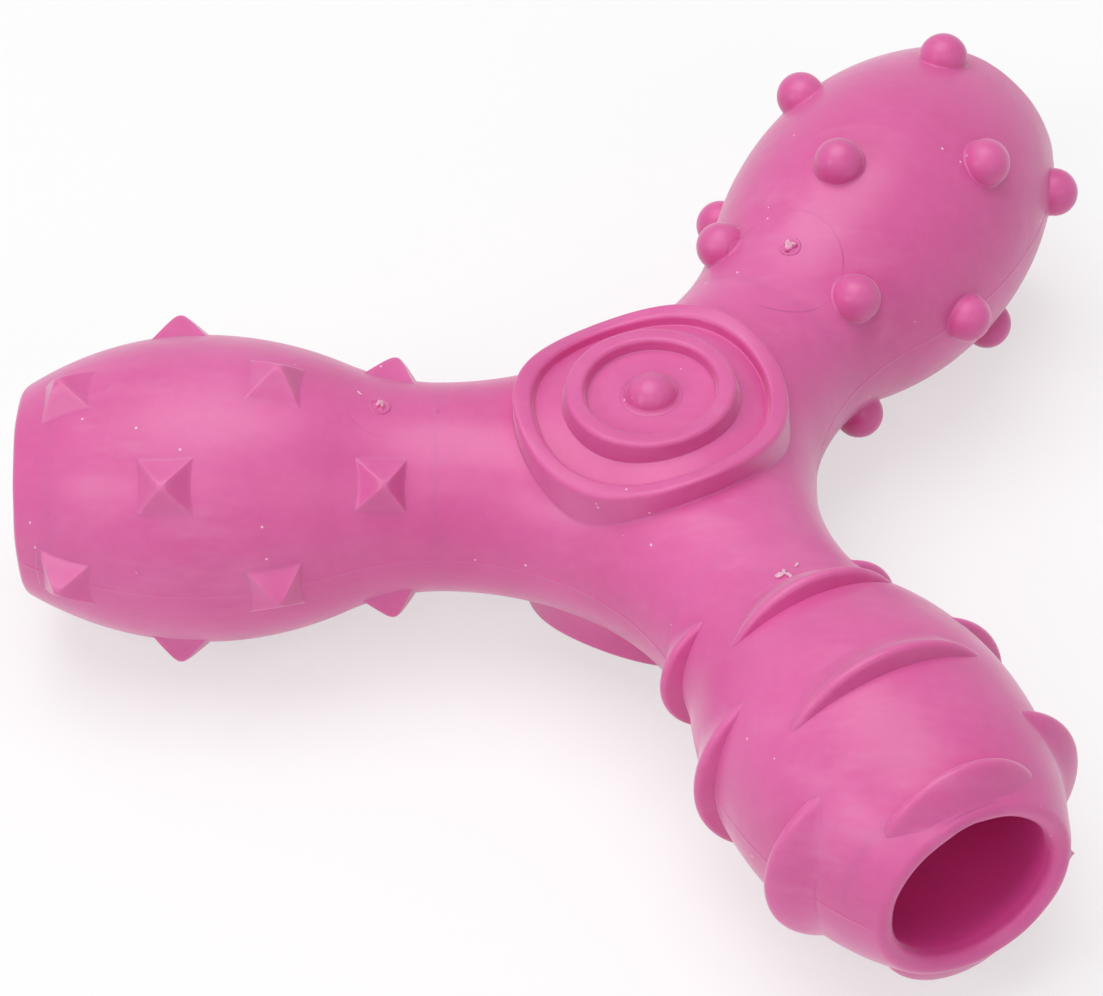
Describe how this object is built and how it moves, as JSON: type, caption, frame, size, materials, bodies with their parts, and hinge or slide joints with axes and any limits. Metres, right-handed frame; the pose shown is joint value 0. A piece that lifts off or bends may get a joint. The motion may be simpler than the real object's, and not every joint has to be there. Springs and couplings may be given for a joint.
{
  "type": "rubber chew toy",
  "caption": "Three-armed moulded rubber chew toy: bulb-shaped hollow arms, each with its own relief of studs, nubs or ribs, open treat pockets and a ringed medallion on each face.",
  "frame": {"origin": "where the three arm axes meet, in the mould's parting plane, at the part's centroid", "axes": "+Z through the face with the gate marks; the stud arm runs along -X, the nub arm 60 degrees from +X towards +Y, the rib arm 60 degrees from +X towards -Y"},
  "size_m": [0.1266, 0.1419, 0.0424],
  "materials": {
    "pink_rubber": "semi-matte moulded rubber with a soft sheen"
  },
  "bodies": {
    "root": {"hub_core": "pink_rubber", "top_rim": "pink_rubber", "top_pad": "pink_rubber", "top_ring": "pink_rubber", "top_button": "pink_rubber", "bottom_rim": "pink_rubber", "bottom_pad": "pink_rubber", "bottom_ring": "pink_rubber", "bottom_button": "pink_rubber", "stud_arm_shell": "pink_rubber", "nub_arm_shell": "pink_rubber", "rib_arm_shell": "pink_rubber", "stud_arm_lip": "pink_rubber", "nub_arm_lip": "pink_rubber", "rib_arm_lip": "pink_rubber", "stud_row_1": "pink_rubber", "stud_row_2": "pink_rubber", "stud_row_3": "pink_rubber", "stud_row_4": "pink_rubber", "nub_row_1": "pink_rubber", "nub_row_2": "pink_rubber", "nub_row_3": "pink_rubber", "nub_row_4": "pink_rubber", "side_ribs_1": "pink_rubber", "side_ribs_2": "pink_rubber", "side_ribs_3": "pink_rubber", "face_ribs_1": "pink_rubber", "face_ribs_2": "pink_rubber", "face_ribs_3": "pink_rubber", "stud_arm_gate": "pink_rubber", "nub_arm_gate": "pink_rubber", "rib_arm_gate": "pink_rubber"}
  },
  "joints": []
}
